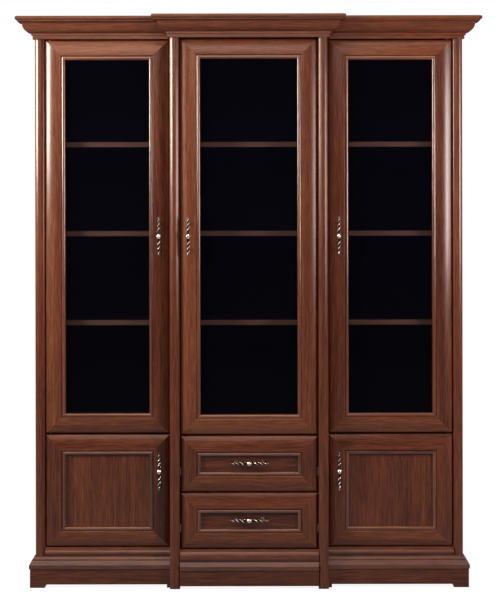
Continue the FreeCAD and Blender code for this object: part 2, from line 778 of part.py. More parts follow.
def handle_seats(name, x, face, z):
    """The two round seats that an upright handle's rosettes are let into."""
    half = size.handle_foot_spacing / 2
    return group(f"{name}_seats", [rod(f"{name}_seat_{end}", size.rosette_radius, size.handle_seat * 2,
                                       (x, face + size.handle_seat, z + half * end), FACING_FRONT)
                                   for end in (-1, 1)])


# Hinges

def make_plate(name, x, y, low, pins):
    """A flat hinge plate with a round pin upwards (+1), downwards (-1) or both."""
    half = size.plate_width / 2
    y_end = y + size.pivot_back + PANEL_SETBACK + size.plate_seat
    pieces = [box(f"{name}_flat", (x - half, x + half), (y - size.plate_front, y_end),
                  (low, low + size.plate_thickness))]
    for sign in pins:
        start = low + size.plate_thickness if sign > 0 else low - size.pivot_pin_length
        pieces.append(rod(f"{name}_pin_{'up' if sign > 0 else 'down'}", size.pivot_pin_radius,
                          size.pivot_pin_length, (x, y, start)))
    plate = doc.addObject("Part::MultiFuse", name)
    plate.Shapes = pieces
    return plate


def bore_and_bush(front):
    """Borings at the two ends of the hinge edge, and the bushes that line them."""
    x, y = front.pivot()
    borings, bushes = [], []
    for end, z in (("bottom", front.bottom), ("top", front.top - size.bush_length)):
        borings.append(rod(f"{front.name}_{end}_boring", size.bush_radius + size.bush_fit, size.bush_length,
                           (x, y, z)))
        outer = rod(f"{front.name}_{end}_bush_outer", size.bush_radius, size.bush_length, (x, y, z))
        bore = rod(f"{front.name}_{end}_bush_bore", size.pivot_pin_radius + size.running_clearance,
                   size.bush_length, (x, y, z))
        bushes.append(cut(f"{front.name}_{end}_bush", outer, bore))
    node(f"{front.name}_bushes", group(f"{front.name}_bushes", bushes))
    return group(f"{front.name}_borings", borings)


# Drawers

def make_drawer(front):
    """A front on an open box: two sides, a back and a thin bottom, with a runner on each side."""
    make_frame(front)
    make_panel(front)
    half = INNER_POST_IN - size.box_side_gap
    low = front.bottom + size.box_rise
    z, end = (low, low + size.box_height), PANEL_BACK - size.box_back_gap
    inner = half - size.box_board
    walls = [box(f"{front.name}_{side}_wall", to_side(sign, inner, half), (front.back, end), z)
             for side, sign in SIDES.items()]
    walls.append(box(f"{front.name}_back_wall", (-inner, inner), (end - size.box_board, end), z))
    node(f"{front.name}_box", group(f"{front.name}_box", walls))
    floor = low + size.box_bottom_rise
    sheet_z = (floor, floor + size.box_bottom_thickness)
    bottom = box(f"{front.name}_bottom", (-inner, inner), (front.back, end - size.box_board), sheet_z)
    node(f"{front.name}_bottom", bottom)
    middle, rise = low + size.runner_rise, size.runner_height / 2
    runners = [box(f"{front.name}_{side}_runner", to_side(sign, half, half + size.runner_thickness),
                   (front.back, end), (middle - rise, middle + rise)) for side, sign in SIDES.items()]
    node(f"{front.name}_runners", group(f"{front.name}_runners", runners))
    return [make_channel(f"{front.name}_{side}", sign, half, middle) for side, sign in SIDES.items()]


def make_channel(name, sign, box_half, middle):
    """The fixed member of a drawer runner: a channel on the divider, open towards the drawer."""
    near, far = box_half + size.channel_box_gap, DIVIDER_IN
    hollow = size.runner_height / 2 + size.runner_play
    y = (CASE_FRONT, PANEL_BACK - size.channel_back_gap)
    blank = box(f"{name}_channel_blank", to_side(sign, near, far), y,
                (middle - hollow - size.channel_wall, middle + hollow + size.channel_wall))
    slot = box(f"{name}_channel_slot", to_side(sign, box_half, far - size.channel_wall), y,
               (middle - hollow, middle + hollow))
    return cut(f"{name}_channel", blank, slot)


# The whole piece of furniture

def make_doors():
    """Glazed doors over lower doors; the plate in the middle gap carries the pins of both."""
    half_gap = size.door_middle_gap / 2
    upper = (size.middle_level + half_gap, TOP_LEVEL - size.door_top_gap)
    lower = (size.floor_level + size.door_bottom_gap, size.middle_level - half_gap)
    fronts = [Front("left_glass_door", "left", *upper, "left"),
              Front("centre_glass_door", "centre", *upper, "right"),
              Front("right_glass_door", "right", *upper, "right"),
              Front("left_lower_door", "left", *lower, "left"),
              Front("right_lower_door", "right", *lower, "right")]
    plates, middle_plates = [], {}
    for front in fronts:
        bay = front.name.split("_")[0]
        glazed = "glass" in front.name
        reach = size.centre_handle_edge_distance if bay == "centre" else size.handle_edge_distance
        x = front.right - reach if front.hinge == "left" else front.left + reach
        level = size.glass_handle_level if glazed else size.lower_handle_level
        make_frame(front, bore_and_bush(front), handle_seats(front.name, x, front.face, level))
        (make_glazing if glazed else make_panel)(front)
        make_handle(f"{front.name}_handle", (x, front.face, level), True, size.handle_seat)
        x, y = front.pivot()
        if glazed:
            plates.append(make_plate(f"{bay}_top_plate", x, y, TOP_LEVEL - size.plate_thickness, [-1]))
            pins = [1] if bay == "centre" else [1, -1]
            middle_plates[bay] = make_plate(f"{bay}_middle_plate", x, y,
                                            size.middle_level - size.plate_thickness / 2, pins)
        else:
            plates.append(make_plate(f"{bay}_bottom_plate", x, y, size.floor_level, [1]))
    node("pivot_plates", group("pivot_plates", plates + list(middle_plates.values())))
    make_middle_panels(middle_plates)


def make_drawers():
    bottom = size.floor_level + size.door_bottom_gap
    top = size.middle_level - size.door_middle_gap / 2
    high = (top - bottom - size.drawer_gap) / 2
    channels = []
    for name, low in (("lower_drawer", bottom), ("upper_drawer", top - high)):
        front = Front(name, "centre", low, low + high)
        channels += make_drawer(front)
        level = low + high / 2 + size.drawer_handle_rise
        make_handle(f"{name}_handle", (ZERO, front.panel_face, level), upright=False)
    node("runner_channels", group("runner_channels", channels))


make_uprights()
make_top_panel()
make_bottom_panels()
make_back_panels()
make_shelves()
make_cornice()
make_base()
make_doors()
make_drawers()
doc.recompute()

# Nothing is written unless every object computed and every sub-part is sound
faults = [f"{item.Name}: {item.State}" for item in doc.Objects if {"Invalid", "Error"} & set(item.State)]
for label, item in nodes.items():
    if item.Shape.isNull() or not item.Shape.isValid():
        faults.append(f"{label}: shape")
if faults:
    raise SystemExit("faulty objects: " + "; ".join(faults))

os.makedirs("parts", exist_ok=True)
for label, item in nodes.items():
    item.Shape.exportStep(os.path.join("parts", f"{label}.step"))

everything = Part.makeCompound([item.Shape for item in nodes.values()])
limits = everything.BoundBox
print(f"{len(nodes)} sub-parts, {len(everything.Solids)} solids")
print(f"X {limits.XMin:.2f} to {limits.XMax:.2f}, Y {limits.YMin:.2f} to {limits.YMax:.2f}, "
      f"Z {limits.ZMin:.2f} to {limits.ZMax:.2f}")
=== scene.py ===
# %% [markdown]
# # A breakfront bookcase with glazed doors
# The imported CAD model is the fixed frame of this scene: every board, moulding and pane is already at its
# true place, in metres, with +Z up and the doors facing -Y. This file gives those parts their finishes,
# makes the crowned posts and the cast handles, and sets up the camera and the light of the photograph.

# %% Load the frame
import math

import bpy
import numpy as np
from mathutils import Matrix, Vector


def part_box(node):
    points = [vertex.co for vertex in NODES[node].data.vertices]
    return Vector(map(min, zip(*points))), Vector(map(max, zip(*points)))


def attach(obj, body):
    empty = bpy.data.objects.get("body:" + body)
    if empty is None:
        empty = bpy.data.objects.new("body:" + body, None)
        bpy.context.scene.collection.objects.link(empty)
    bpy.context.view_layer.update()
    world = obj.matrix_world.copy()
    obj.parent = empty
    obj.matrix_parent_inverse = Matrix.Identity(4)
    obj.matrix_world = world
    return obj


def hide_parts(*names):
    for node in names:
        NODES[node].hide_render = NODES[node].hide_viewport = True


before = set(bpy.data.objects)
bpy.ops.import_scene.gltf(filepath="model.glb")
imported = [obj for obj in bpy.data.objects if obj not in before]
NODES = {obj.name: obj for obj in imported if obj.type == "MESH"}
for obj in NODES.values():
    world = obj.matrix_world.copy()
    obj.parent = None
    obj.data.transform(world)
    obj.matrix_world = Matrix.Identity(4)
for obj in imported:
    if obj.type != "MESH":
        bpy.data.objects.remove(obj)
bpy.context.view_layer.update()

# %% [markdown]
# ## Camera
# The photograph is taken straight on, with the eye about two thirds of the way up the case. The upright
# lines stay parallel, so the camera is level; a roll of a tenth of a degree follows their slight lean. The
# lens comes from how much smaller the set-back side bays look than the middle bay. The horizon is moved by
# the lens's shift, because a tilted camera would make the upright lines converge.

# %% Camera
PHOTO_SIZE = (499, 605)
SENSOR_MM = 36
FOCAL_PIXELS = 1160.5
EYE_DISTANCE = 4.200
EYE_HEIGHT = 1.3355
HORIZON = (248.8, 217.1)
ROLL_DEGREES = -0.10

side_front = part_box("outer_posts")[0].y
lens = bpy.data.cameras.new("photo_lens")
lens.sensor_width = SENSOR_MM
lens.lens = SENSOR_MM * FOCAL_PIXELS / PHOTO_SIZE[1]
lens.shift_x = (PHOTO_SIZE[0] / 2 - HORIZON[0]) / PHOTO_SIZE[1]
lens.shift_y = (HORIZON[1] - PHOTO_SIZE[1] / 2) / PHOTO_SIZE[1]
camera = bpy.data.objects.new("photo_camera", lens)
bpy.context.scene.collection.objects.link(camera)
level = Matrix.Rotation(math.radians(90), 4, "X") @ Matrix.Rotation(math.radians(ROLL_DEGREES), 4, "Z")
camera.matrix_world = Matrix.Translation((0, side_front - EYE_DISTANCE, EYE_HEIGHT)) @ level
bpy.context.scene.camera = camera
print("lens mm:", round(lens.lens, 2), "camera at", [round(v, 3) for v in camera.location])

# %% [markdown]
# ## Writing shader sums as Python
# A finish is a small tree of nodes. `Value` stands for one socket of that tree, and an operator on it adds
# the Math node that works it out, so a mask can be written as `1 - edge * wear`. Every other node is made
# by the one method `Finish.node`, which takes the node's type, its settings, and its inputs.

# %% Sockets with operators
class Value:
    """An output socket; arithmetic on it adds Math nodes to its finish."""

    def __init__(self, finish, socket):
        self.finish = finish
        self.socket = socket

    def math(self, operation, *others):
        """Add a Math node that takes this value first."""
        return self.finish.node("ShaderNodeMath", {"operation": operation}, [self, *others])

    def __add__(self, other):
        return self.math("ADD", other)

    def __sub__(self, other):
        return self.math("SUBTRACT", other)

    def __rsub__(self, other):
        return self.finish.node("ShaderNodeMath", {"operation": "SUBTRACT"}, [other, self])

    def __mul__(self, other):
        return self.math("MULTIPLY", other)

    def __lt__(self, other):
        return self.math("LESS_THAN", other)

    def __gt__(self, other):
        return self.math("GREATER_THAN", other)

    def __abs__(self):
        return self.math("ABSOLUTE")

    __radd__ = __add__
    __rmul__ = __mul__

    def smooth(self, low, high):
        """0 below low, 1 above high, and an S-curve between them."""
        settings = {"interpolation_type": "SMOOTHSTEP", "clamp": True}
        return self.finish.node("ShaderNodeMapRange", settings, [self, low, high, 0.0, 1.0])


print("sockets can be added, multiplied and compared")

# %% A finish and its nodes
MIX_FACTOR, MIX_FIRST, MIX_SECOND, MIX_RESULT = 0, 6, 7, 2


class Finish:
    """A material, or the world, and its node tree."""

    def __init__(self, name, shelf=bpy.data.materials):
        self.material = shelf.new(name)
        self.material.use_nodes = True
        self.tree = self.material.node_tree
        self.tree.nodes.clear()

    def node(self, kind, settings=None, inputs=(), output=0):
        """Add a node: its settings first, then its sockets as values or links; returns one of its outputs."""
        made = self.tree.nodes.new(kind)
        for name, setting in (settings or {}).items():
            setattr(made, name, setting)
        pairs = inputs.items() if isinstance(inputs, dict) else enumerate(inputs)
        for key, value in pairs:
            if value is None:
                continue
            if isinstance(value, Value):
                self.tree.links.new(value.socket, made.inputs[key])
            else:
                made.inputs[key].default_value = value
        return Value(self, made.outputs[output]) if made.outputs else None

    def split(self, vector):
        """X, Y and Z of a vector."""
        return [self.node("ShaderNodeSeparateXYZ", None, [vector], axis) for axis in range(3)]

    def place(self):
        """X, Y and Z of a surface point in the object's own frame, in metres."""
        return self.split(self.node("ShaderNodeTexCoord", output="Object"))

    def facing(self):
        """X, Y and Z of the direction that a face looks in."""
        return self.split(self.node("ShaderNodeNewGeometry", output="True Normal"))

    def vector(self, x, y, z):
        """One vector from three values."""
        return self.node("ShaderNodeCombineXYZ", None, [x, y, z])

    def mix(self, factor, first, second):
        """Blend two colours."""
        inputs = {MIX_FACTOR: factor, MIX_FIRST: first, MIX_SECOND: second}
        return self.node("ShaderNodeMix", {"data_type": "RGBA"}, inputs, MIX_RESULT)

    def noise(self, vector, detail=2.0, roughness=0.5):
        """Noise around 0.5 at a point that is already scaled."""
        inputs = {"Vector": vector, "Scale": 1.0, "Detail": detail, "Roughness": roughness}
        return self.node("ShaderNodeTexNoise", {"noise_dimensions": "3D"}, inputs)

    def texture(self, waves, detail, roughness):
        """Noise at a surface point, with so many waves in a metre along X, Y and Z."""
        place = self.node("ShaderNodeTexCoord", output="Object")
        scaled = self.node("ShaderNodeVectorMath", {"operation": "MULTIPLY"}, [place, waves])
        return self.noise(scaled, detail, roughness)

    def bump(self, height, distance, strength, normal=None):
        """A normal that follows a height; distance is how deep the relief is, in metres."""
        inputs = {"Strength": strength, "Distance": distance, "Height": height, "Normal": normal}
        return self.node("ShaderNodeBump", None, inputs)

    def surface(self, **sockets):
        """Finish with one Principled shader; underscores stand for the spaces in a socket's name."""
        inputs = {name.replace("_", " "): value for name, value in sockets.items()}
        shader = self.node("ShaderNodeBsdfPrincipled", None, inputs)
        self.node("ShaderNodeOutputMaterial", None, [shader])
        return self.material


def dress(node_names, material):
    """Give one finish to several CAD parts."""
    for name in node_names:
        slots = NODES[name].data.materials
        slots.clear()
        slots.append(material)


print("shader helpers ready")

# %% [markdown]
# ## Dark lacquered wood
# The case is a brown hardwood under a satin lacquer. Three scales of streaks make the figure: broad bands
# of dark and light heartwood, fine fibres, and short dark pores. A picture of wood would show its edges and
# repeat; each streak here is a noise that is stretched along the grain, so it runs through a board without
# a seam. The lacquer is the shader's own gloss, which follows the bump of the grain; the base carries more
# wax, and the beads of the frames a second coat.

# %% Streaks along the grain
WANDER_WAVES = (1.9, 6.0)
BAND_WAVES = (1.3, 40.0)
FIBRE_WAVES = (14.0, 230.0)
PORE_WAVES = (42.0, 900.0)
WANDER = 0.040


def streaks(finish, grain, waves, detail, roughness=0.5):
    """Noise that is stretched along the grain. grain is a point's place along, across and into a board, in
    metres, and waves is how many waves a metre has along the grain and across it."""
    along, side, depth = grain
    lengthwise, crosswise = waves
    place = finish.vector(along * lengthwise, side * crosswise, depth * crosswise)
    return finish.noise(place, detail, roughness)


print("a fibre is about", round(1000 / FIBRE_WAVES[1], 1), "mm wide")

# %% Wood figure
HEART_DARK = (0.070, 0.0158, 0.0082, 1)
HEART_BROWN = (0.148, 0.0410, 0.0190, 1)
HEART_LIGHT = (0.245, 0.0810, 0.0370, 1)
PORE_DARK = (0.026, 0.0080, 0.0056, 1)
DARK_TO_BROWN = (0.33, 0.52)
BROWN_TO_LIGHT = (0.48, 0.70)
BAND_SHARE = 0.46
FIBRE_SHARE = 0.54
PORE_EDGE = (0.60, 0.72)
PORE_STRENGTH = 0.40


def wood_figure(finish, along, side, depth, tone=0.0):
    """Colour, fibre and pore values from distances along and across the grain, in metres. tone makes one
    board lighter or darker than its neighbours."""
    wander = streaks(finish, (along, side, depth), WANDER_WAVES, 2.0)
    grain = (along, side + (wander - 0.5) * WANDER, depth)
    bands = streaks(finish, grain, BAND_WAVES, 4.0, 0.62)
    fibres = streaks(finish, grain, FIBRE_WAVES, 3.0, 0.64)
    pores = streaks(finish, grain, PORE_WAVES, 1.0)
    figure = bands * BAND_SHARE + fibres * FIBRE_SHARE + tone
    warm = finish.mix(figure.smooth(*DARK_TO_BROWN), HEART_DARK, HEART_BROWN)
    colour = finish.mix(figure.smooth(*BROWN_TO_LIGHT), warm, HEART_LIGHT)
    pore_mask = pores.smooth(*PORE_EDGE) * PORE_STRENGTH
    colour = finish.mix(pore_mask, colour, PORE_DARK)
    return colour, fibres, pore_mask


print("heartwood from", HEART_DARK[:3], "to", HEART_LIGHT[:3])

# %% Lacquer
EDGE_RADIUS = 0.0008
GRAIN_DEPTH = 0.00012
GRAIN_STRENGTH = 0.5
FIBRE_RELIEF = 0.6
LACQUER_IOR = 1.5
LACQUER_ROUGHNESS = 0.23
FIBRE_ROUGHNESS = 0.06
WAX_ROUGHNESS = 0.13
POLISH_IOR = 1.7
POLISH_ROUGHNESS = 0.22


def lacquer(finish, colour, fibres, pore_mask, wax=0.0, polish=0.0):
    """A satin coat over the wood: soft gloss that breaks up a little along the fibres. The coat rounds every
    sharp edge by a little. Wax, from 0 to 1, makes the gloss stronger and broader; polish is where a second,
    brighter coat lies."""
    rounded = finish.node("ShaderNodeBevel", {"samples": 4}, {"Radius": EDGE_RADIUS})
    grain = finish.bump(fibres * FIBRE_RELIEF - pore_mask, GRAIN_DEPTH, GRAIN_STRENGTH, rounded)
    roughness = LACQUER_ROUGHNESS + WAX_ROUGHNESS * wax + fibres * FIBRE_ROUGHNESS
    return finish.surface(Base_Color=colour, Roughness=roughness, Normal=grain, IOR=LACQUER_IOR,
                          Specular_IOR_Level=0.5 + 0.5 * wax, Coat_Weight=polish,
                          Coat_Roughness=POLISH_ROUGHNESS, Coat_IOR=POLISH_IOR)


print("lacquer rounds edges by", EDGE_RADIUS * 1000, "mm")

# %% [markdown]
# ## Grain that follows the piece
# A joiner turns the grain with the piece: it is upright on posts, side panels and door panels, level on
# rails, drawer panels and mouldings, and it turns at every mitre of a frame. Each length could have a
# material of its own, but a point's place and the way its face looks say which length it is on, so one
# finish does for a whole frame or a whole run of moulding. A small number, the tone, makes one board
# lighter or darker than the next.

# %% Straight grain
RETURN_OFFSET = 3.7


def upright_wood(name, tone=0.0):
    """Grain along Z."""
    finish = Finish(name)
    x, y, z = finish.place()
    return lacquer(finish, *wood_figure(finish, z, x, y, tone))


def level_wood(name, tone=0.0, wax=0.0):
    """Grain along X."""
    finish = Finish(name)
    x, y, z = finish.place()
    return lacquer(finish, *wood_figure(finish, x, z, y, tone), wax=wax)


def moulding_wood(name, tone, wax=0.0):
    """Grain along X on lengths that face the front, and along Y on those that face sideways."""
    finish = Finish(name)
    x, y, z = finish.place()
    to_right, to_back, _ = finish.facing()
    sideways = abs(to_right) > abs(to_back)
    along = x + sideways * (y - x)
    across = y + sideways * (x - y)
    figure = wood_figure(finish, along + sideways * RETURN_OFFSET, z, across, tone)
    return lacquer(finish, *figure, wax=wax)


print("straight grain ready")

# %% Mitred grain
GLASS_FRAME_TONES = {"left_glass_door_frame": 0.03, "centre_glass_door_frame": 0.04,
                     "right_glass_door_frame": -0.035}
LOW_FRAME_TONE = -0.04
# Rails are painted lighter than stiles, bottom rails more than top rails: painted light.
RAIL_PAINTED_LIGHT = 0.09
TOP_RAIL_LESS_LIGHT = 0.06
MEMBER_SPREAD = 0.30
DRAW_STEP = 1.7
DRAW_SPREAD = 9.0
CUT_ALONG = 2.3
CUT_ACROSS = 0.37
GROOVE_START = (0.0572, 0.0582)
GROOVE_END = (0.0596, 0.0604)
BEAD_START = (0.0602, 0.0608)
# Darkening in the groove beside the bead: painted shade.
GROOVE_PAINTED_SHADE = (0.020, 0.0060, 0.0040, 1)
GROOVE_SHADE_STRENGTH = 0.35


def framed_wood(name, node_name):
    """Grain that turns at the mitres: a point is on a stile where it is nearer to an upright edge than to a
    level one. Each of the four members is cut from another place in the wood, and a noise draws its tone. The
    rails are lighter than the stiles, the bottom rail most, which is painted light. The groove beside the
    bead is darkened a little as painted shade, and the bead has a second coat."""
    low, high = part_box(node_name)
    middle, half = (low + high) / 2, (high - low) / 2
    finish = Finish(name)
    x, y, z = finish.place()
    to_side = half.x - abs(x - middle.x)
    to_end = half.z - abs(z - middle.z)
    stile = to_side < to_end
    member = stile * (1 + (x > middle.x)) + (1 - stile) * (3 + (z > middle.z))
    along = x + stile * (z - x) + member * CUT_ALONG
    across = z + stile * (x - z) + member * CUT_ACROSS
    lot = finish.vector(member * DRAW_STEP, middle.x * DRAW_SPREAD, middle.z * DRAW_SPREAD)
    draw = finish.noise(lot, 0.0)
    chance = (draw - 0.5) * MEMBER_SPREAD
    # Painted light on the rails, less on the top rail.
    rail = (1 - stile) * (RAIL_PAINTED_LIGHT - TOP_RAIL_LESS_LIGHT * (z > middle.z))
    tone = chance + (rail + GLASS_FRAME_TONES.get(node_name, LOW_FRAME_TONE))
    colour, fibres, pores = wood_figure(finish, along, across, y, tone)
    inwards = to_side.math("MINIMUM", to_end)
    groove = inwards.smooth(*GROOVE_START) * (1 - inwards.smooth(*GROOVE_END))
    colour = finish.mix(groove * GROOVE_SHADE_STRENGTH, colour, GROOVE_PAINTED_SHADE)
    return lacquer(finish, colour, fibres, pores, polish=inwards.smooth(*BEAD_START))


FRAMES = [name for name in NODES if name.endswith("_frame")]
for frame_name in FRAMES:
    dress([frame_name], framed_wood(f"{frame_name}_wood", frame_name))
print("mitred grain on", len(FRAMES), "frames")

# %% Dress the case
DOOR_PANEL_TONE = -0.03
DRAWER_PANEL_TONE = -0.09
CORNICE_TONE = 0.03
BASE_TONE = -0.04
PLINTH_TONE = -0.07
NOSING_WAX = 0.7
BASE_WAX = 1.0

DOOR_PANELS = [name for name in NODES if name.endswith("door_panel")]
DRAWER_PANELS = [name for name in NODES if name.endswith("drawer_panel")]
dress(["left_side_panel", "right_side_panel"], upright_wood("side_wood"))
dress(DOOR_PANELS, upright_wood("door_panel_wood", DOOR_PANEL_TONE))
dress(DRAWER_PANELS, level_wood("drawer_panel_wood", DRAWER_PANEL_TONE))
dress(["top_panel"], level_wood("top_wood"))
dress(["bottom_rails"], level_wood("rail_wood", wax=NOSING_WAX))
dress(["left_cornice", "centre_cornice", "right_cornice"], moulding_wood("cornice_wood", CORNICE_TONE))
dress(["base_mouldings"], moulding_wood("base_moulding_wood", BASE_TONE, BASE_WAX))
dress(["plinth_boards", "feet"], moulding_wood("plinth_wood", PLINTH_TONE))
dress([name for name in NODES if name.endswith("glazing_beads")], upright_wood("bead_wood"))
print("wood on", len(DOOR_PANELS) + len(DRAWER_PANELS), "panels and the case")

# %% [markdown]
# ## Crowned posts
# The posts beside the doors are planed to a slight crown: a flat in the middle, a slope on each side that
# catches a thin white line of light, and round corners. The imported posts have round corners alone, so both
# pairs are made again here. A bevelled block would do, but a plan that is drawn edge by edge sets the slope
# exactly, and it is carried straight up the post.

# %% Plan of a post
POST_WIDTH = 0.036
ARRIS = 0.003


def crown_plan(slope, flat_half, slope_end):
    """Half of a post's front in plan, as points (u, drop) from its middle to its side. It is flat up to
    flat_half, turns by atan(slope) on an arc of radius ARRIS, runs down the slope to slope_end, and then
    turns on a larger arc, u = slope_end + r (sin p - sin turn) and drop = d + r (cos turn - cos p), until
    it meets the side."""
    turn = math.atan(slope)
    p = np.linspace(0, turn, 7)
    arris = np.stack([flat_half + ARRIS * np.sin(p), ARRIS * (1 - np.cos(p))], 1)
    d = arris[-1, 1] + slope * (slope_end - arris[-1, 0])
    r = (POST_WIDTH / 2 - slope_end) / (1 - math.sin(turn))
    p = np.linspace(turn, np.pi / 2, 15)
    corner_u = slope_end + r * (np.sin(p) - math.sin(turn))
    corner = np.stack([corner_u, d + r * (math.cos(turn) - np.cos(p))], 1)
    return np.concatenate([[[0.0, 0.0]], arris, corner])


OUTER_CROWN = crown_plan(0.40, 0.0045, 0.0115)
INNER_CROWN = crown_plan(0.58, 0.0050, 0.0120)
print("crowns drop by", [round(1000 * plan[-1, 1], 1) for plan in (OUTER_CROWN, INNER_CROWN)], "mm")

# %% Posts
SHARP_DEGREES = 35


def upright_mesh(name, plans, bottom, top):
    """Closed surfaces over plans that are carried straight up: point = (x, y, z) for each point (x, y) of a
    plan and z at the bottom and the top. plans is (posts, points, 2), and a plan runs anticlockwise seen from
    above."""
    posts, count, _ = plans.shape
    points = np.empty((posts, 2, count, 3))
    points[..., :2] = plans[:, None]
    points[..., 2] = np.array([bottom, top])[None, :, None]
    grid = np.arange(posts * 2 * count).reshape(posts, 2, count)
    low, high = grid[:, 0], grid[:, 1]
    quads = np.stack([low, np.roll(low, -1, 1), np.roll(high, -1, 1), high], -1).reshape(-1, 4)
    ends = low[:, ::-1].tolist() + high.tolist()
    mesh = bpy.data.meshes.new(name)
    mesh.from_pydata(points.reshape(-1, 3).tolist(), [], quads.tolist() + ends)
    mesh.shade_smooth()
    mesh.set_sharp_from_angle(angle=math.radians(SHARP_DEGREES))
    return mesh


def make_posts(node_name, crown):
    """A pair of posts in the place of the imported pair: the crown, its mirror image and a square back."""
    low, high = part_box(node_name)
    right = np.concatenate([crown, [[POST_WIDTH / 2, high.y - low.y]]])
    plan = np.concatenate([right[:0:-1] * (-1, 1), right])
    middle = high.x - POST_WIDTH / 2
    plans = np.stack([plan + (-middle, low.y), plan + (middle, low.y)])
    mesh = upright_mesh(f"{node_name}_crowned", plans, low.z, high.z)
    mesh.materials.append(upright_wood(f"{node_name}_wood"))
    piece = bpy.data.objects.new(f"{node_name}_crowned", mesh)
    bpy.context.scene.collection.objects.link(piece)
    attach(piece, "carcass")
    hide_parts(node_name)
    return piece


pairs = [make_posts("outer_posts", OUTER_CROWN), make_posts("inner_posts", INNER_CROWN)]
print("posts:", [len(pair.data.polygons) for pair in pairs], "faces")

# %% [markdown]
# ## Inside of the case
# Behind the glass the boards are a matt near-black brown, which is painted shade that makes the inside look
# deep in shadow. The front edges of these boards are veneered and catch a little light; a mask of which way a
# face looks tells the edge from the rest of the board, so one finish does both. The back is thin hardboard,
# near-black inside as painted shade, and bare behind. The drawer boxes are a plain pale board.

# %% Dark boards and the back
# The near-black of the inside boards and of the hardboard's inner face is painted shade.
INSIDE_PAINTED_SHADE = ((0.0022, 0.0016, 0.0020, 1), (0.0050, 0.0036, 0.0040, 1))
EDGE_VENEER = ((0.095, 0.046, 0.036, 1), (0.175, 0.094, 0.074, 1))
HARDBOARD_PAINTED_SHADE = (0.0034, 0.0026, 0.0030, 1)
HARDBOARD_BARE = ((0.050, 0.028, 0.017, 1), (0.190, 0.115, 0.070, 1))
SQUARE_ON = 0.7
BOARD_IOR = 1.45


def inside_board(name):
    """Matt board, near-black brown as painted shade; faces that look forward carry a strip of brown veneer.
    """
    finish = Finish(name)
    fibres = finish.texture(waves=(6.0, 160.0, 160.0), detail=3.0, roughness=0.6)
    forward = finish.facing()[1] < -SQUARE_ON
    colour = finish.mix(forward, finish.mix(fibres, *INSIDE_PAINTED_SHADE), finish.mix(fibres, *EDGE_VENEER))
    relief = finish.bump(fibres, 0.0001, 0.4)
    return finish.surface(Base_Color=colour, Roughness=0.62 + fibres * 0.12, Normal=relief, IOR=BOARD_IOR,
                          Specular_IOR_Level=0.08)


def back_hardboard(name):
    """Thin hardboard: near-black inside as painted shade, and bare behind, where short fibres show as
    speckles.
    """
    finish = Finish(name)
    speckle = finish.texture(waves=(420.0, 420.0, 420.0), detail=3.0, roughness=0.65)
    mottle = finish.texture(waves=(9.0, 9.0, 9.0), detail=2.0, roughness=0.5)
    behind = finish.facing()[1] > SQUARE_ON
    bare = finish.mix(speckle * 0.7 + mottle * 0.3, *HARDBOARD_BARE)
    colour = finish.mix(behind, HARDBOARD_PAINTED_SHADE, bare)
    relief = finish.bump(speckle, 0.00015, 0.5)
    return finish.surface(Base_Color=colour, Roughness=0.60 + speckle * 0.15, Normal=relief, IOR=BOARD_IOR,
                          Specular_IOR_Level=0.10)


DARK_BOARDS = ["left_bay_shelves", "centre_bay_shelves", "right_bay_shelves", "left_divider", "right_divider",
               "middle_panels", "bottom_panels"]
dress(DARK_BOARDS, inside_board("inside_dark_board"))
dress(["back_panels"], back_hardboard("back_hardboard"))
print("dark boards:", len(DARK_BOARDS))

# %% Drawer boxes
PALE_BOARD = ((0.235, 0.130, 0.066, 1), (0.420, 0.285, 0.170, 1))


def drawer_board(name):
    """Pale board with a straight grain, and a faint sealing coat."""
    finish = Finish(name)
    bands = finish.texture(waves=(9.0, 2.0, 60.0), detail=3.0, roughness=0.55)
    fibres = finish.texture(waves=(120.0, 6.0, 240.0), detail=2.0, roughness=0.6)
    colour = finish.mix(bands * 0.6 + fibres * 0.4, *PALE_BOARD)
    relief = finish.bump(fibres, 0.0001, 0.3)
    return finish.surface(Base_Color=colour, Roughness=0.50 + bands * 0.10, Normal=relief, IOR=BOARD_IOR)


DRAWER_BOARDS = [name for name in NODES if name.endswith(("drawer_box", "drawer_bottom"))]
dress(DRAWER_BOARDS, drawer_board("drawer_pale_board"))
print("pale boards:", len(DRAWER_BOARDS))

# %% [markdown]
# ## Glass and metal
# The panes are clear float glass. Glass that bends light needs many bounces, so each pane is a thin sheet
# that is mostly see-through by its alpha, with a weak gloss, because the photograph shows hardly any
# reflection. The runners and shelf pins are plated steel, the pivot plates are blackened steel, the bushes
# are turned brass, and the glides under the case are black plastic. A fine noise keeps each of them from
# looking like paint, and on the metals it is stretched the way the tool ran.

# %% Panes
# The panes' dark blue tint darkens and cools the inside behind them: painted shade.
PANE_SHADE_TINT = (0.006, 0.006, 0.016, 1)
PANE_ALPHA = 0.14


def pane_glass(name):
    """A clear sheet: mostly transparent, with faint smears that change how glossy it is. Its dark blue tint
    darkens the inside behind it as painted shade.
    """
    finish = Finish(name)
    smears = finish.texture(waves=(3.0, 3.0, 1.3), detail=3.0, roughness=0.5)
    return finish.surface(Base_Color=PANE_SHADE_TINT, Roughness=0.02 + smears * 0.05, Alpha=PANE_ALPHA, IOR=1.45,
                          Specular_IOR_Level=0.20)


PANES = [name for name in NODES if name.endswith("_glass")]
dress(PANES, pane_glass("pane_glass"))
print("panes:", len(PANES))

# %% Metal and plastic
PLATED_TONES = ((0.36, 0.36, 0.37, 1), (0.56, 0.56, 0.57, 1))
BLACKENED_TONES = ((0.020, 0.017, 0.015, 1), (0.045, 0.038, 0.032, 1))
BRASS_TONES = ((0.46, 0.29, 0.10, 1), (0.66, 0.45, 0.19, 1))
PLASTIC_TONES = ((0.006, 0.005, 0.005, 1), (0.014, 0.012, 0.011, 1))


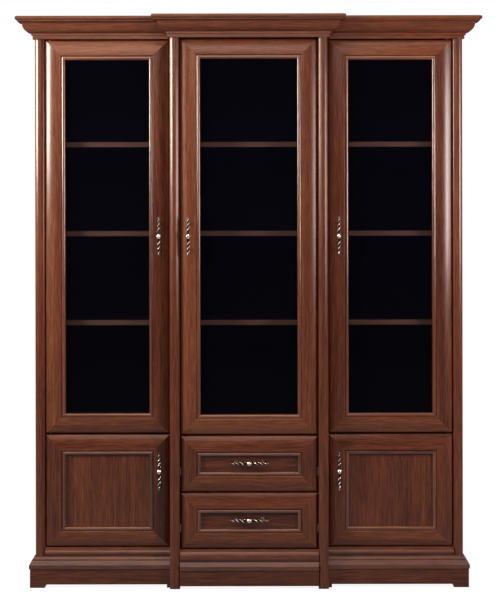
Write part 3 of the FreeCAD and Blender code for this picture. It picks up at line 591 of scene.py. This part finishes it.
def brushed_steel(name, tones):
    """Metal between two tones, brushed along Y."""
    finish = Finish(name)
    brushed = finish.texture(waves=(900.0, 18.0, 900.0), detail=2.0, roughness=0.6)
    colour = finish.mix(brushed, *tones)
    return finish.surface(Base_Color=colour, Metallic=1.0, Roughness=0.28 + brushed * 0.16)


def turned_brass(name):
    """Brass with the fine rings of a lathe around Z."""
    finish = Finish(name)
    rings = finish.texture(waves=(40.0, 40.0, 1500.0), detail=2.0, roughness=0.5)
    colour = finish.mix(rings, *BRASS_TONES)
    return finish.surface(Base_Color=colour, Metallic=1.0, Roughness=0.24 + rings * 0.14)


def glide_plastic(name):
    """Black plastic with a fine speckle."""
    finish = Finish(name)
    speckle = finish.texture(waves=(700.0, 700.0, 700.0), detail=2.0, roughness=0.5)
    colour = finish.mix(speckle, *PLASTIC_TONES)
    return finish.surface(Base_Color=colour, Roughness=0.50 + speckle * 0.15)


PLATED = ["runner_channels", "shelf_pins", "upper_drawer_runners", "lower_drawer_runners"]
BUSHES = [name for name in NODES if name.endswith("_bushes")]
dress(PLATED, brushed_steel("plated_steel", PLATED_TONES))
dress(["pivot_plates"], brushed_steel("blackened_steel", BLACKENED_TONES))
dress(BUSHES, turned_brass("turned_brass"))
dress(["glides"], glide_plastic("glide_plastic"))
print("metal parts:", len(PLATED) + 1 + len(BUSHES))

# %% [markdown]
# ## Cast handles
# Each handle is a casting 140 mm long: a ball in the middle, and on each side an arm that is twisted like a
# rope of leaves and thins to a small round tip. Sculpting would do, but the twist is a simple formula: the
# radius of a round bar is waved around its axis, and the wave turns as it goes along. The hollows between
# the leaves stay dark while hands polish the crests, so the height of the wave is kept as an attribute for
# the finish to read.

# %% Swept surface
def tube_mesh(name, centres, sides, ups, radii, crests):
    """Closed surface over rings: point = centre + r cos(a) side + r sin(a) up, for every ring and angle a.
    centres, sides and ups are (rings, 3); radii and crests are (rings, angles)."""
    rings, angles = radii.shape
    a = np.linspace(0, 2 * np.pi, angles, endpoint=False)
    points = (centres[:, None, :] + (radii * np.cos(a))[..., None] * sides[:, None, :]
              + (radii * np.sin(a))[..., None] * ups[:, None, :])
    grid = np.arange(rings * angles).reshape(rings, angles)
    here, there = grid[:-1], grid[1:]
    quads = np.stack([here, np.roll(here, -1, 1), np.roll(there, -1, 1), there], -1).reshape(-1, 4)
    ends = [grid[0][::-1].tolist(), grid[-1].tolist()]
    mesh = bpy.data.meshes.new(name)
    mesh.from_pydata(points.reshape(-1, 3).tolist(), [], quads.tolist() + ends)
    wear = mesh.attributes.new("wear", "FLOAT", "POINT")
    wear.data.foreach_set("value", crests.reshape(-1).astype(np.float32))
    mesh.shade_smooth()
    return mesh


print("swept surface ready")

# %% Twisted bar
HANDLE_LENGTH = 0.140
HANDLE_BALL = 0.0090
HANDLE_TIP = 0.0040
TIP_INSET = 0.0042
ARM_RADIUS = 0.0058
ARM_TAPER = 0.0027
LEAF_TWIST = 370
LEAF_SHARPNESS = 1.6
LEAF_HEIGHT = 0.60
LEAF_ROOT = 0.34
LEAF_NOTCH = 0.0058
NOTCH_DEPTH = 0.16
BAR_RINGS = 701
BAR_ANGLES = 60


def bar_shape():
    """Radius and leaf height along the twisted bar, for the distance s from its middle and the angle a.

    r(s, a) = R(s) (1 + f(s) (LEAF_HEIGHT c - LEAF_ROOT)), where c = ((1 + cos(2 a - LEAF_TWIST s)) / 2) to
    the power LEAF_SHARPNESS is the height of two strands of leaves that turn around the bar, notched every
    LEAF_NOTCH, R tapers from the ball to the tip and f fades the leaves out at both ends. At the tip its
    own circle replaces r, and the ball's circle does so where it is larger."""
    half = HANDLE_LENGTH / 2
    s = np.linspace(-half, half, BAR_RINGS)[:, None]
    a = np.linspace(0, 2 * np.pi, BAR_ANGLES, endpoint=False)[None, :]
    d = np.abs(s)
    share = np.clip((d - HANDLE_BALL) / (half - HANDLE_BALL), 0, 1)
    arm = ARM_RADIUS - ARM_TAPER * share
    strand = ((1 + np.cos(2 * a - LEAF_TWIST * s)) / 2) ** LEAF_SHARPNESS
    leaf = strand * (1 - NOTCH_DEPTH + NOTCH_DEPTH * np.cos(2 * np.pi * d / LEAF_NOTCH))
    fade = np.clip(share * 9, 0, 1) * np.clip((0.95 - share) * 12, 0, 1)
    radius = arm * (1 + fade * (LEAF_HEIGHT * leaf - LEAF_ROOT))
    tip_middle = half - TIP_INSET
    at_tip = d > tip_middle - HANDLE_TIP * 0.8
    tip_circle = np.sqrt(np.clip(HANDLE_TIP ** 2 - (d - tip_middle) ** 2, 0, None))
    ball_circle = np.sqrt(np.clip(HANDLE_BALL ** 2 - d ** 2, 0, None))
    radius = np.where(at_tip, np.maximum(tip_circle, 0.0002), radius)
    radius = np.maximum(radius, ball_circle)
    crest = np.where(at_tip, 0.6, leaf * fade)
    crest = np.where(ball_circle > arm * 0.7, 1.0, crest)
    return s[:, 0], radius * np.ones_like(a), crest * np.ones_like(a)


print("bar:", BAR_RINGS, "rings of", BAR_ANGLES, "points")

# %% Turned feet
HANDLE_FOOT = 0.048
ROSETTE_TOP = 0.0175
RING_TOP = 0.0135
FOOT_STEP = 0.0012
WAIST_RADIUS = 0.0030
ROSETTE_SWELL = 0.0034
RING_SWELL = 0.0012
BAR_SWELL = 0.0008
FOOT_RINGS = 48
FOOT_ANGLES = 32


def lathe_foot(name, base, outward, side, up, height):
    """A turned foot from the front to the bar. h runs from the base to the bar, and r(h) is the radius of a
    slim waist, plus a rosette at the front, a bell-shaped ring in front of it and a spread with the cube of
    h."""
    h = np.linspace(0, height, FOOT_RINGS)
    left = height - h
    rosette = np.clip((left - ROSETTE_TOP) / FOOT_STEP, 0, 1) ** 0.5
    ring = np.exp(-((left - RING_TOP) / FOOT_STEP) ** 2)
    spread = (h / height) ** 3
    radius = WAIST_RADIUS + ROSETTE_SWELL * rosette + RING_SWELL * ring + BAR_SWELL * spread
    radii = np.repeat(radius[:, None], FOOT_ANGLES, 1)
    crests = np.repeat((0.35 + 0.4 * ring + 0.3 * rosette)[:, None], FOOT_ANGLES, 1)
    centres = base + outward * h[:, None]
    ones = np.ones((len(h), 1))
    return tube_mesh(name, centres, ones * side, ones * up, radii, crests)


print("feet stand", HANDLE_FOOT * 1000, "mm from the ball")

# %% Antique metal
HOLLOW_BRONZE = (0.034, 0.017, 0.012, 1)
RUBBED_BRONZE = (0.96, 0.86, 0.79, 1)


def antique_metal(name):
    """Dark bronze in the hollows, rubbed bright on the crests."""
    finish = Finish(name)
    wear = finish.node("ShaderNodeAttribute", {"attribute_name": "wear"}, output="Fac")
    patches = finish.texture(waves=(160.0, 160.0, 160.0), detail=3.0, roughness=0.6)
    rubbed = (wear + (patches - 0.5) * 0.4).smooth(0.52, 0.80)
    colour = finish.mix(rubbed, HOLLOW_BRONZE, RUBBED_BRONZE)
    return finish.surface(Base_Color=colour, Metallic=1.0, Roughness=0.46 - rubbed * 0.20)


ANTIQUE = antique_metal("antique_bronze")
print("finish:", ANTIQUE.name)

# %% Handles
def make_handle(node_name, body):
    """A bar and two feet in the place of a packed handle, along its longer side."""
    low, high = (np.array(corner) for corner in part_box(node_name))
    upright = high[2] - low[2] > high[0] - low[0]
    along = np.array([0, 0, 1.0]) if upright else np.array([1.0, 0, 0])
    outward = np.array([0, -1.0, 0])
    side = np.cross(outward, along)
    middle = (low + high) / 2
    foot = np.array([middle[0], high[1], middle[2]])
    height = high[1] - low[1] - HANDLE_BALL
    s, radii, crests = bar_shape()
    centres = foot + outward * height + along * s[:, None]
    ones = np.ones((len(s), 1))
    meshes = [tube_mesh(f"{node_name}_bar", centres, ones * side, ones * outward, radii, crests)]
    for sign in (-1, 1):
        base = foot + along * (HANDLE_FOOT * sign)
        up = np.cross(outward, side)
        meshes.append(lathe_foot(f"{node_name}_foot", base, outward, side, up, height))
    for mesh, part in zip(meshes, ("bar", "foot_low", "foot_high")):
        mesh.materials.append(ANTIQUE)
        piece = bpy.data.objects.new(f"{node_name}_{part}", mesh)
        bpy.context.scene.collection.objects.link(piece)
        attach(piece, body)
    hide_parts(node_name)


handle_nodes = sorted(name for name in NODES if name.endswith("_handle"))
for handle_node in handle_nodes:
    make_handle(handle_node, handle_node.removesuffix("_handle"))
print("handles:", len(handle_nodes))

# %% [markdown]
# ## Lamps
# Narrow upright lamps at the left and the right draw the white lines on the posts, the stiles and the
# beads; a lamp as wide as the case would wash them out. The left one is stronger and a little yellower, as
# in the photograph. A broad lamp high in front and a strip overhead fill the front from above, so the light
# falls off towards the floor, and a lamp behind shows the back.

# %% Lamps
def soft_lamp(name, place, target, size, power, colour):
    """A rectangular lamp of a size in metres and a power in watts that looks at its target."""
    lamp = bpy.data.lights.new(name, "AREA")
    lamp.shape = "RECTANGLE"
    lamp.size, lamp.size_y = size
    lamp.energy = power
    lamp.color = colour
    holder = bpy.data.objects.new(name, lamp)
    holder.location = place
    holder.rotation_euler = (Vector(target) - Vector(place)).to_track_quat("-Z", "Y").to_euler()
    bpy.context.scene.collection.objects.link(holder)


soft_lamp("key_left", (-2.5, -1.25, 2.10), (0.0, -0.15, 1.70), (0.5, 1.0), 78, (1.0, 0.94, 0.82))
soft_lamp("key_right", (2.3, -1.55, 1.60), (0.0, -0.15, 1.50), (0.4, 1.0), 40, (1.0, 0.84, 0.81))
soft_lamp("front_top", (-0.40, -2.5, 3.0), (-0.05, -0.15, 1.20), (2.0, 1.6), 21, (1.0, 0.86, 0.78))
soft_lamp("overhead", (0.0, -1.0, 3.3), (0.0, -0.15, 1.00), (2.4, 0.5), 13, (1.0, 0.96, 0.80))
soft_lamp("back_fill", (0.0, 3.0, 2.2), (0.0, 0.24, 1.00), (2.0, 1.2), 60, (1.0, 0.98, 0.96))
print("lamps:", len(bpy.data.lights))

# %% [markdown]
# ## White background and floor
# The background is white, but little of that white may reach the panes and the lacquer, or they would look
# milky. So the world is white to the camera and through the panes, shows a small part of that white in
# gloss, and is a dim grey to all other light. The floor is made in the same way: white to the camera with
# the case's shadow mixed in, a part of that white in gloss, and a dull grey that throws little light up at
# the base. It reaches further in front of the case than behind it, so that no dim strip of far floor shows
# beside the case.

# %% White world
WORLD_DIM = 0.02
WORLD_IN_GLOSS = 0.06


def white_studio(name):
    """White to the camera and through the panes, a little of that white in gloss, and a dim grey
    otherwise."""
    studio = Finish(name, bpy.data.worlds)
    rays = ("Is Camera Ray", "Is Glossy Ray", "Is Transmission Ray")
    seen, mirrored, through = (studio.node("ShaderNodeLightPath", output=ray) for ray in rays)
    white = studio.node("ShaderNodeBackground", None, [(1, 1, 1, 1), 1.0])
    dim = studio.node("ShaderNodeBackground", None, [(0.96, 0.97, 1.0, 1), WORLD_DIM])
    shown = seen.math("MAXIMUM", through).math("MAXIMUM", mirrored * WORLD_IN_GLOSS)
    shader = studio.node("ShaderNodeMixShader", None, [shown, dim, white])
    studio.node("ShaderNodeOutputWorld", None, [shader])
    return studio.material


bpy.context.scene.world = white_studio("studio")
bpy.context.scene.view_settings.view_transform = "Standard"
print("world:", bpy.context.scene.world.name)

# %% Pale floor
FLOOR_SHADOW = 0.25
FLOOR_SHINE = 1.22
FLOOR_PAINT = (0.80, 0.80, 0.80, 1)
FLOOR_DULL = (0.16, 0.16, 0.16, 1)
FLOOR_IN_GLOSS = 0.20
FLOOR_RADIUS = 4.8
FLOOR_FORWARD = 2.1
FLOOR_DROP = 0.0005


def pale_floor(name):
    """White to the camera, with the object's shadow in it: a share FLOOR_SHADOW is lit paint, and the rest
    shines enough to make up for what the paint lacks. In gloss it shows a part of white, and to other light
    it is a dull grey."""
    finish = Finish(name)
    rays = ("Is Camera Ray", "Is Glossy Ray")
    seen, mirrored = (finish.node("ShaderNodeLightPath", output=ray) for ray in rays)
    paint = finish.node("ShaderNodeBsdfDiffuse", None, {"Color": FLOOR_PAINT})
    shine = finish.node("ShaderNodeEmission", None, {"Color": (1, 1, 1, 1), "Strength": FLOOR_SHINE})
    shown = finish.node("ShaderNodeMixShader", None, [1 - FLOOR_SHADOW, paint, shine])
    dull = finish.node("ShaderNodeBsdfDiffuse", None, {"Color": FLOOR_DULL})
    glow = finish.node("ShaderNodeEmission", None, {"Color": (1, 1, 1, 1), "Strength": 1.0})
    bounced = finish.node("ShaderNodeMixShader", None, [mirrored * FLOOR_IN_GLOSS, dull, glow])
    shader = finish.node("ShaderNodeMixShader", None, [seen, bounced, shown])
    finish.node("ShaderNodeOutputMaterial", None, [shader])
    return finish.material


turn = np.linspace(0, 2 * np.pi, 64, endpoint=False)
rim = np.stack([FLOOR_RADIUS * np.cos(turn), FLOOR_RADIUS * np.sin(turn) - FLOOR_FORWARD, 0 * turn], 1)
floor_mesh = bpy.data.meshes.new("pale_floor")
floor_mesh.from_pydata(rim.tolist(), [], [list(range(len(rim)))])
floor_mesh.materials.append(pale_floor("pale_floor"))
floor = bpy.data.objects.new("pale_floor", floor_mesh)
floor.location.z = -FLOOR_DROP
bpy.context.scene.collection.objects.link(floor)
print("floor radius:", FLOOR_RADIUS, "m")
